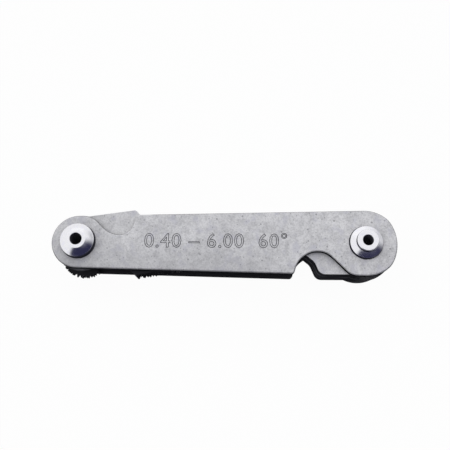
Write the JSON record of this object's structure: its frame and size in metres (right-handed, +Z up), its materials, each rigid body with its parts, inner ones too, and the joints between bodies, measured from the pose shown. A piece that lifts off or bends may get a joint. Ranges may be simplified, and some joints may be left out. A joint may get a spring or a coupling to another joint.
{
  "type": "thread pitch gauge",
  "caption": "Folding screw pitch gauge: tapered steel case of riveted plates with toothed leaves that swing out at both ends to match metric screw threads.",
  "frame": {"origin": "middle of the case in plan, on the surface that the back rivet heads rest on", "axes": "+X along the case towards the big end, +Y across the case, +Z up through the leaf stack towards the front plate"},
  "size_m": [0.088, 0.0179, 0.0144],
  "materials": {
    "plate_steel": "tumbled matte sheet steel",
    "leaf_steel": "stamped sheet steel with a dull face and dark sheared edges",
    "rivet_steel": "polished bright steel"
  },
  "bodies": {
    "case": {"front_plate": "plate_steel", "back_plate": "plate_steel", "small_rivet": "rivet_steel", "small_rivet_cap": "rivet_steel", "big_rivet": "rivet_steel", "big_rivet_cap": "rivet_steel"},
    "leaf_0_40_mm": {"leaf_0_40_mm": "leaf_steel"},
    "leaf_0_45_mm": {"leaf_0_45_mm": "leaf_steel"},
    "leaf_0_50_mm": {"leaf_0_50_mm": "leaf_steel"},
    "leaf_0_60_mm": {"leaf_0_60_mm": "leaf_steel"},
    "leaf_0_70_mm": {"leaf_0_70_mm": "leaf_steel"},
    "leaf_0_75_mm": {"leaf_0_75_mm": "leaf_steel"},
    "leaf_0_80_mm": {"leaf_0_80_mm": "leaf_steel"},
    "leaf_1_00_mm": {"leaf_1_00_mm": "leaf_steel"},
    "leaf_1_25_mm": {"leaf_1_25_mm": "leaf_steel"},
    "leaf_1_50_mm": {"leaf_1_50_mm": "leaf_steel"},
    "leaf_1_75_mm": {"leaf_1_75_mm": "leaf_steel"},
    "leaf_2_00_mm": {"leaf_2_00_mm": "leaf_steel"},
    "leaf_2_50_mm": {"leaf_2_50_mm": "leaf_steel"},
    "leaf_3_00_mm": {"leaf_3_00_mm": "leaf_steel"},
    "leaf_3_50_mm": {"leaf_3_50_mm": "leaf_steel"},
    "leaf_4_00_mm": {"leaf_4_00_mm": "leaf_steel"},
    "leaf_4_50_mm": {"leaf_4_50_mm": "leaf_steel"},
    "leaf_5_00_mm": {"leaf_5_00_mm": "leaf_steel"},
    "leaf_5_50_mm": {"leaf_5_50_mm": "leaf_steel"},
    "leaf_6_00_mm": {"leaf_6_00_mm": "leaf_steel"}
  },
  "joints": [
    {"name": "swing_0_40_mm", "type": "hinge", "parent": "case", "child": "leaf_0_40_mm", "pos_m": [-0.03715, 0, 0.00722], "axis": [0, 0, 1], "range_deg": [-180, 0]},
    {"name": "swing_0_45_mm", "type": "hinge", "parent": "case", "child": "leaf_0_45_mm", "pos_m": [-0.03715, 0, 0.00722], "axis": [0, 0, 1], "range_deg": [-180, 0]},
    {"name": "swing_0_50_mm", "type": "hinge", "parent": "case", "child": "leaf_0_50_mm", "pos_m": [-0.03715, 0, 0.00722], "axis": [0, 0, 1], "range_deg": [-180, 0]},
    {"name": "swing_0_60_mm", "type": "hinge", "parent": "case", "child": "leaf_0_60_mm", "pos_m": [-0.03715, 0, 0.00722], "axis": [0, 0, 1], "range_deg": [-180, 0]},
    {"name": "swing_0_70_mm", "type": "hinge", "parent": "case", "child": "leaf_0_70_mm", "pos_m": [-0.03715, 0, 0.00722], "axis": [0, 0, 1], "range_deg": [-180, 0]},
    {"name": "swing_0_75_mm", "type": "hinge", "parent": "case", "child": "leaf_0_75_mm", "pos_m": [-0.03715, 0, 0.00722], "axis": [0, 0, 1], "range_deg": [-180, 0]},
    {"name": "swing_0_80_mm", "type": "hinge", "parent": "case", "child": "leaf_0_80_mm", "pos_m": [-0.03715, 0, 0.00722], "axis": [0, 0, 1], "range_deg": [-180, 0]},
    {"name": "swing_1_00_mm", "type": "hinge", "parent": "case", "child": "leaf_1_00_mm", "pos_m": [-0.03715, 0, 0.00722], "axis": [0, 0, 1], "range_deg": [-180, 0]},
    {"name": "swing_1_25_mm", "type": "hinge", "parent": "case", "child": "leaf_1_25_mm", "pos_m": [-0.03715, 0, 0.00722], "axis": [0, 0, 1], "range_deg": [-180, 0]},
    {"name": "swing_1_50_mm", "type": "hinge", "parent": "case", "child": "leaf_1_50_mm", "pos_m": [-0.03715, 0, 0.00722], "axis": [0, 0, 1], "range_deg": [-180, 0]},
    {"name": "swing_1_75_mm", "type": "hinge", "parent": "case", "child": "leaf_1_75_mm", "pos_m": [0.03595, 0, 0.00722], "axis": [0, 0, 1], "range_deg": [-180, 0]},
    {"name": "swing_2_00_mm", "type": "hinge", "parent": "case", "child": "leaf_2_00_mm", "pos_m": [0.03595, 0, 0.00722], "axis": [0, 0, 1], "range_deg": [-180, 0]},
    {"name": "swing_2_50_mm", "type": "hinge", "parent": "case", "child": "leaf_2_50_mm", "pos_m": [0.03595, 0, 0.00722], "axis": [0, 0, 1], "range_deg": [-180, 0]},
    {"name": "swing_3_00_mm", "type": "hinge", "parent": "case", "child": "leaf_3_00_mm", "pos_m": [0.03595, 0, 0.00722], "axis": [0, 0, 1], "range_deg": [-180, 0]},
    {"name": "swing_3_50_mm", "type": "hinge", "parent": "case", "child": "leaf_3_50_mm", "pos_m": [0.03595, 0, 0.00722], "axis": [0, 0, 1], "range_deg": [-180, 0]},
    {"name": "swing_4_00_mm", "type": "hinge", "parent": "case", "child": "leaf_4_00_mm", "pos_m": [0.03595, 0, 0.00722], "axis": [0, 0, 1], "range_deg": [-180, 0]},
    {"name": "swing_4_50_mm", "type": "hinge", "parent": "case", "child": "leaf_4_50_mm", "pos_m": [0.03595, 0, 0.00722], "axis": [0, 0, 1], "range_deg": [-180, 0]},
    {"name": "swing_5_00_mm", "type": "hinge", "parent": "case", "child": "leaf_5_00_mm", "pos_m": [0.03595, 0, 0.00722], "axis": [0, 0, 1], "range_deg": [-180, 0]},
    {"name": "swing_5_50_mm", "type": "hinge", "parent": "case", "child": "leaf_5_50_mm", "pos_m": [0.03595, 0, 0.00722], "axis": [0, 0, 1], "range_deg": [-180, 0]},
    {"name": "swing_6_00_mm", "type": "hinge", "parent": "case", "child": "leaf_6_00_mm", "pos_m": [0.03595, 0, 0.00722], "axis": [0, 0, 1], "range_deg": [-180, 0]}
  ]
}
